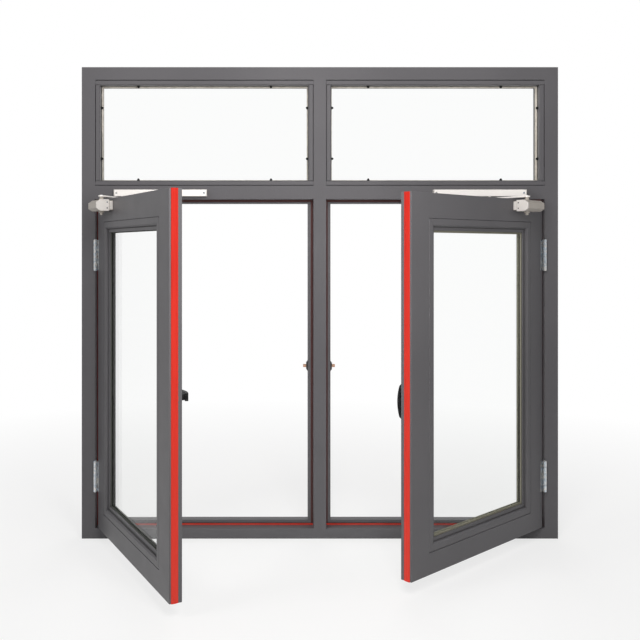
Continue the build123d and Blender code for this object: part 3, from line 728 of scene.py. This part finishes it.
# %% Fittings of the hinges
HINGE_MM = HINGE / MM
HINGE_LEVELS = (199.0, 893.0)
HINGE_HALF = 47.5
FRAME_LEAF_FACE = -706.0
SASH_LEAF_FACE = -705.0
SCREW_PITCH = 31.0
LEAF_SCREW_STEPS = ((-1, -16.0), (0, -25.0), (1, -16.0))
LEAF_SCREW_SIZE = (3.2, 0.3)
PIN_CAP_SIZE = (5.2, 2.0)
LIP_INSET = 2.4
LIP_WIDTH = 9.0
LIP_THICKNESS = 0.7
LIP_EASE = 0.25
leaf_screws = [(level + step * SCREW_PITCH, y) for level in HINGE_LEVELS for step, y in LEAF_SCREW_STEPS]
frame_spots = [((FRAME_LEAF_FACE, y, z), (1, 0, 0)) for z, y in leaf_screws]
sash_spots = [((SASH_LEAF_FACE, y, z), (-1, 0, 0)) for z, y in leaf_screws]
pin_spots = [((HINGE_MM.x, HINGE_MM.y, level + way * HINGE_HALF), (0, 0, way))
             for level in HINGE_LEVELS for way in (-1, 1)]
for side in SIDES:
    settle(heads(f"{side}_frame_leaf_screws", screw_master, hand(side), frame_spots, *LEAF_SCREW_SIZE),
           "frame", zinc)
    settle(heads(f"{side}_sash_leaf_screws", screw_master, swing(side), sash_spots, *LEAF_SCREW_SIZE),
           side + "_sash", zinc)
    settle(heads(f"{side}_hinge_pin_caps", cap_master, hand(side), pin_spots, *PIN_CAP_SIZE),
           "frame", zinc)

stile_corner = shut_box("left_sash_hinge_stile", undo_left)[0] / MM
lips = []
for level in HINGE_LEVELS:
    low = (stile_corner.x + LIP_INSET, stile_corner.y - LIP_THICKNESS, level - HINGE_HALF)
    high = (stile_corner.x + LIP_WIDTH, stile_corner.y + LIP_THICKNESS, level + HINGE_HALF)
    lips.append(done(eased_block("lip_master", low, high, LIP_EASE)))
lip_master = join(lips, "lip_master")
for side in SIDES:
    settle(copy_at(lip_master, f"{side}_hinge_lips", swing(side)), side + "_sash", zinc)
remove(lip_master)

# %% Fittings of the tracks
TRACK_ENDS = (-645.5, -355.5)
TRACK_FACE_Y = -55.0
TRACK_Z = (1078.0, 1098.0)
TRACK_SCREW_INSET = 8.0
CAP_OUT = 0.6
CAP_IN = 2.4
CAP_PROUD = 0.4
CAP_EASE = 0.5
FRAME_FRONT_Y = -35.0
TRACK_SCREW_SIZE = (3.2, 1.0)
track_middle = sum(TRACK_Z) / 2
track_spots = [((TRACK_ENDS[0] + TRACK_SCREW_INSET, TRACK_FACE_Y, track_middle), (0, -1, 0)),
               ((TRACK_ENDS[1] - TRACK_SCREW_INSET, TRACK_FACE_Y, track_middle), (0, -1, 0))]
for side in SIDES:
    settle(heads(f"{side}_track_screws", screw_master, hand(side), track_spots, *TRACK_SCREW_SIZE),
           "frame", zinc)
    caps = []
    for end, way in zip(TRACK_ENDS, (-1, 1)):
        across = sorted((end + way * CAP_OUT, end - way * CAP_IN))
        block = eased_block(
            "track_cap_master", (across[0], TRACK_FACE_Y - CAP_PROUD, TRACK_Z[0] - CAP_PROUD),
            (across[1], FRAME_FRONT_Y, TRACK_Z[1] + CAP_PROUD), CAP_EASE)
        done(block)
        caps.append(copy_at(block, f"{side}_track_caps", hand(side)))
        remove(block)
    settle(join(caps, f"{side}_track_caps"), "frame", cap_silver)

# %% [markdown]
# ## End caps of the closers
#
# A cast cap closes the leading end of each closer's housing, in a paler lacquer, with a narrower one on the
# base behind it. The large cap is a block whose two outer edges are cut off by bisecting it, as the
# housing's are, eased along its edges, and dished on its end. Two screws hold it, one more sits on the
# spindle and one under it.

# %% Closer caps
CLOSER_END_X = -530.5
CAP_LENGTH = 6.0
CLOSER_Y = (-87.4, -48.8)
CLOSER_Z = (1025.6, 1059.4)
BEVEL_RISE = 8.2
BEVEL_WAY = (0.555, 0.832)
DISH_RIM = 2.0
DISH_DEPTH = 0.5
CAST_STEPS = 2
BASE_CAP_CORNERS = ((-534.5, -47.0, 1030.0), (-531.4, -37.5, 1055.0))
BASE_CAP_EASE = 0.8
CAP_SCREW_Y = -55.0
CAP_SCREW_Z = (1034.0, 1051.0)
CAP_SCREW_SIZE = (2.3, 0.8)
SPINDLE = (-568.5, -62.0)
SPINDLE_FOOT_Z = 1015.0
SPINDLE_TOP_Z = 1074.0
SPINDLE_SCREW_SIZE = (3.0, 1.0)


def closer_cap():
    """Cap over the leading end of the shut left closer."""
    low = Vector((CLOSER_END_X - CAP_LENGTH, CLOSER_Y[0], CLOSER_Z[0])) * MM
    high = Vector((CLOSER_END_X + CAP_OUT, CLOSER_Y[1], CLOSER_Z[1])) * MM
    piece = begin("closer_cap_master", bpy.ops.mesh.primitive_cube_add, size=1.0)
    bpy.ops.transform.resize(value=high - low)
    bpy.ops.transform.translate(value=(low + high) / 2)
    for way, edge in ((1, high.z - BEVEL_RISE * MM), (-1, low.z + BEVEL_RISE * MM)):
        bpy.ops.mesh.select_all(action="SELECT")
        bpy.ops.mesh.bisect(plane_co=(low.x, low.y, edge), plane_no=(0, -BEVEL_WAY[0], way * BEVEL_WAY[1]),
                            use_fill=True, clear_outer=True)
    bpy.ops.mesh.select_all(action="SELECT")
    bpy.ops.mesh.select_mode(type="EDGE")
    bpy.ops.mesh.bevel(offset=CAP_EASE * MM, segments=CAST_STEPS, affect="EDGES")
    choose(piece, "FACE", lambda middle, normal: normal.x > FLAT and middle.x > high.x - SAME)
    bpy.ops.mesh.inset(thickness=DISH_RIM * MM)
    bpy.ops.mesh.extrude_region_move(TRANSFORM_OT_translate={"value": (-DISH_DEPTH * MM, 0, 0)})
    return done(piece)


big_cap = closer_cap()
base_cap = done(eased_block("base_cap_master", *BASE_CAP_CORNERS, BASE_CAP_EASE))
dish_x = CLOSER_END_X + CAP_OUT - DISH_DEPTH
closer_spots = [((dish_x, CAP_SCREW_Y, z), (1, 0, 0)) for z in CAP_SCREW_Z]
closer_spots.append(((*SPINDLE, SPINDLE_FOOT_Z), (0, 0, -1)))
spindle_spot = [((*SPINDLE, SPINDLE_TOP_Z), (0, 0, 1))]
for side in SIDES:
    caps = [copy_at(master, f"{side}_closer_caps", swing(side)) for master in (big_cap, base_cap)]
    settle(join(caps, f"{side}_closer_caps"), side + "_sash", cap_silver)
    settle(heads(f"{side}_closer_screws", screw_master, swing(side), closer_spots, *CAP_SCREW_SIZE),
           side + "_sash", zinc)
    settle(heads(f"{side}_spindle_screw", screw_master, swing(side), spindle_spot, *SPINDLE_SCREW_SIZE),
           side + "_arm", zinc)
remove(big_cap)
remove(base_cap)

# %% [markdown]
# ## Handle fittings
#
# The rose of each lever handle carries a collar round the lever's neck and two screws, and the neck ends in
# a domed cap on the lever. The collar is the cap's shape at a larger radius, which the neck passes through.

# %% Collars, screws and caps of the handles
HANDLE = (-70.0, 538.0)
ROSE_FACE_Y = 6.0
LEVER_FACE_Y = 25.3
ROSE_SCREW_Z = (511.0, 551.5)
FACING_ROOM = (0, 1, 0)
COLLAR_SIZE = (10.5, 2.2)
ROSE_SCREW_SIZE = (2.4, 0.8)
LEVER_CAP_SIZE = (6.0, 1.2)
collar_spot = [((HANDLE[0], ROSE_FACE_Y, HANDLE[1]), FACING_ROOM)]
rose_spots = [((HANDLE[0], ROSE_FACE_Y, z), FACING_ROOM) for z in ROSE_SCREW_Z]
lever_spot = [((HANDLE[0], LEVER_FACE_Y, HANDLE[1]), FACING_ROOM)]
for side in SIDES:
    settle(heads(f"{side}_handle_collar", cap_master, swing(side), collar_spot, *COLLAR_SIZE),
           side + "_sash", black)
    settle(heads(f"{side}_rose_screws", screw_master, swing(side), rose_spots, *ROSE_SCREW_SIZE),
           side + "_sash", zinc)
    settle(heads(f"{side}_lever_cap", cap_master, swing(side), lever_spot, *LEVER_CAP_SIZE),
           side + "_lever", black)
remove(screw_master)
remove(cap_master)

# %% [markdown]
# ## The studio
#
# The photograph is a cut-out on white. A pale floor takes the window's soft shadow and turns to plain white
# further off, and the world is white to the camera, to mirrors and to glass, but lights the window only
# gently. Three soft lamps do the rest: a tall strip before the middle, which makes the head and the mullion
# the brightest, one on the left for the face of the casement that stands further open, and one behind for
# the other views. The lamps don't show in the glass, as a photographer keeps them out of it.

# %% Floor
FLOOR_SIZE = 14.0
FLOOR_CELLS = 8
FLOOR_DROP = 0.0008
FLOOR_LOW = (0.86, 0.86, 0.86)
FLOOR_HIGH = (0.90, 0.90, 0.90)
FADE = (0.6, 2.6)
GLOW_NEAR = 0.7
nothing_selected()
bpy.ops.mesh.primitive_grid_add(x_subdivisions=FLOOR_CELLS, y_subdivisions=FLOOR_CELLS, size=FLOOR_SIZE,
                                location=(0, 0, -FLOOR_DROP))
floor = bpy.context.object
floor.name = "studio_floor"
bpy.ops.object.transform_apply(location=True, rotation=True, scale=True)
floor_finish, shader, place = new_finish("pale_floor", {"Roughness": 0.9, "Specular IOR Level": 0.1})
place.noise(3.0, 3.0).blend(FLOOR_LOW, FLOOR_HIGH).feed(shader, "Base Color")
glow = place.node("ShaderNodeEmission", {}, {"Strength": 1.0})
reach = place.node("ShaderNodeVectorMath", {"operation": "LENGTH"}, {0: place}, "Value")
share = reach.ramp(*FADE) * (1 - GLOW_NEAR) + GLOW_NEAR
mix_surface(floor_finish, share * place.seen(), Wire(shader.outputs["BSDF"]), glow)
floor.data.materials.append(floor_finish)
print("floor", FLOOR_SIZE, "m wide")

# %% World and lamps
AMBIENT = 0.25
LAMP_TINT = (1.0, 0.982, 0.955)
world = bpy.data.worlds.new("white_studio")
bpy.context.scene.world = world
world.use_nodes = True
background = world.node_tree.nodes["Background"]
background.inputs["Color"].default_value = (1, 1, 1, 1)
(Wire(background.outputs[0]).seen() * (1 - AMBIENT) + AMBIENT).feed(background, "Strength")
LAMPS = {
    "front_lamp": ((0.0, -1.45, 1.6), (0.0, 0.0, 1.5), (0.5, 1.9), 27.5),
    "left_lamp": ((-1.9, -1.4, 1.7), (-0.45, -0.5, 0.8), (0.7, 0.7), 11.5),
    "back_lamp": ((0.6, 3.2, 2.4), (0.0, 0.0, 0.8), (2.2, 2.2), 46.0),
}
for name, (place_at, aim, size, power) in LAMPS.items():
    lamp_data = bpy.data.lights.new(name, "AREA")
    lamp_data.shape = "RECTANGLE"
    lamp_data.size, lamp_data.size_y = size
    lamp_data.energy = power
    lamp_data.color = LAMP_TINT
    lamp = bpy.data.objects.new(name, lamp_data)
    lamp.location = place_at
    lamp.rotation_euler = (Vector(aim) - Vector(place_at)).to_track_quat("-Z", "Y").to_euler()
    lamp.visible_camera = False
    lamp.visible_glossy = False
    lamp.visible_transmission = False
    bpy.context.scene.collection.objects.link(lamp)
print("lamps", sorted(LAMPS))
